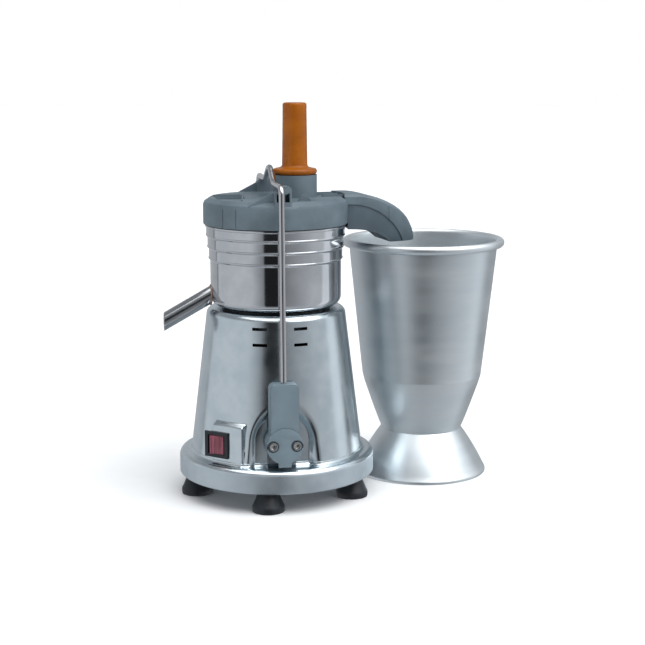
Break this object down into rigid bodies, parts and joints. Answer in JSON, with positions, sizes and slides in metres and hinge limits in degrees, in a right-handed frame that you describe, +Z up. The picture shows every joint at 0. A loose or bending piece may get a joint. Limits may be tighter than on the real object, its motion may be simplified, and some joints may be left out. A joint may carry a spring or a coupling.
{
  "type": "centrifugal juicer",
  "caption": "Table-top centrifugal juicer: cast motor body, steel bowl with spout, clamped lid with feed tube and pulp chute, pusher, rocker switch and a separate pulp bin.",
  "frame": {"origin": "the point on the table under the motor axis; the feet and the bin stand on Z = 0", "axes": "+Z up along the motor axis, -Y towards the front arm of the clamp, -X towards the juice spout, +X towards the pulp chute and bin"},
  "size_m": [0.4378, 0.2776, 0.4758],
  "materials": {
    "cast_aluminium": "satin cast, polished by hand",
    "spun_aluminium": "satin, spun",
    "stainless": "drawn and brushed",
    "polished_stainless": "mirror polished stainless steel",
    "zinc_steel": "zinc plated",
    "stator_iron": "laminated iron",
    "copper_wire": "varnished copper wire",
    "grained_grey_plastic": "fine grained",
    "smooth_grey_plastic": "smooth satin",
    "orange_plastic": "glossy, slightly waxy",
    "red_plastic": "tinted, glossy",
    "black_plastic": "satin black",
    "white_plastic": "moulded case",
    "black_rubber": "matt"
  },
  "bodies": {
    "base": {"housing": "cast_aluminium", "base_plate": "zinc_steel", "base_screws": "zinc_steel", "feet": "black_rubber", "foot_screws": "zinc_steel", "cable_gland": "black_plastic", "motor_top_bracket": "cast_aluminium", "motor_bottom_bracket": "cast_aluminium", "motor_bolts": "zinc_steel", "stator": "stator_iron", "stator_windings": "copper_wire", "capacitor": "white_plastic", "bearing_top": "zinc_steel", "bearing_bottom": "zinc_steel", "shaft_seal": "black_rubber", "bowl_seat_ring": "black_rubber", "juice_bowl": "polished_stainless", "juice_spout": "stainless", "lid_gasket": "black_rubber", "switch_body": "black_plastic", "pivot_bracket_front": "zinc_steel", "pivot_bracket_rear": "zinc_steel", "bracket_screws": "zinc_steel", "pivot_cap_front": "smooth_grey_plastic", "pivot_cap_rear": "smooth_grey_plastic", "cap_screws": "stainless"},
    "lid": {"lid": "grained_grey_plastic", "chute_lower_shell": "grained_grey_plastic"},
    "rotor": {"motor_shaft": "stainless", "rotor_core": "stator_iron", "cooling_fan": "black_plastic", "filter_basket": "stainless", "grater_disc": "stainless", "basket_nut": "stainless"},
    "pusher": {"pusher": "orange_plastic"},
    "rocker": {"switch_rocker": "red_plastic"},
    "bail_arms": {"bail_arm_front": "smooth_grey_plastic", "bail_arm_rear": "smooth_grey_plastic", "bail_springs": "zinc_steel"},
    "bail": {"bail_rod": "stainless", "bail_nuts": "zinc_steel"},
    "pulp_bin": {"bin_body": "spun_aluminium", "bin_foot": "spun_aluminium"}
  },
  "joints": [
    {"name": "rotor_spin", "type": "hinge", "parent": "base", "child": "rotor", "pos_m": [0, 0, 0.15], "axis": [0, 0, 1], "continuous": true},
    {"name": "bail_swing", "type": "hinge", "parent": "base", "child": "bail_arms", "pos_m": [-0.007, 0, 0.083], "axis": [0, -1, 0], "range_deg": [0, 95]},
    {"name": "bail_lift", "type": "slide", "parent": "bail_arms", "child": "bail", "axis": [0, 0, 1], "range_m": [0, 0.008], "stiffness_N_per_m": 2500, "springref_m": -0.01, "deforming": ["bail_springs"]},
    {"name": "lid_lift", "type": "slide", "parent": "base", "child": "lid", "axis": [0, 0, 1], "range_m": [0, 0.1]},
    {"name": "pusher_slide", "type": "slide", "parent": "lid", "child": "pusher", "axis": [0, 0, 1], "range_m": [0, 0.13]},
    {"name": "rocker_tip", "type": "hinge", "parent": "base", "child": "rocker", "pos_m": [-0.07852, -0.06516, 0.076], "axis": [0, 0, 1], "range_deg": [-18, 0]},
    {"name": "bin_slide", "type": "slide", "parent": "base", "child": "pulp_bin", "axis": [0.9641, 0.2656, 0], "range_m": [0, 0.25]}
  ],
  "couplings": [
    {"joint": "lid_lift", "follows": "bail_swing", "m_per_rad": 0.06}
  ]
}
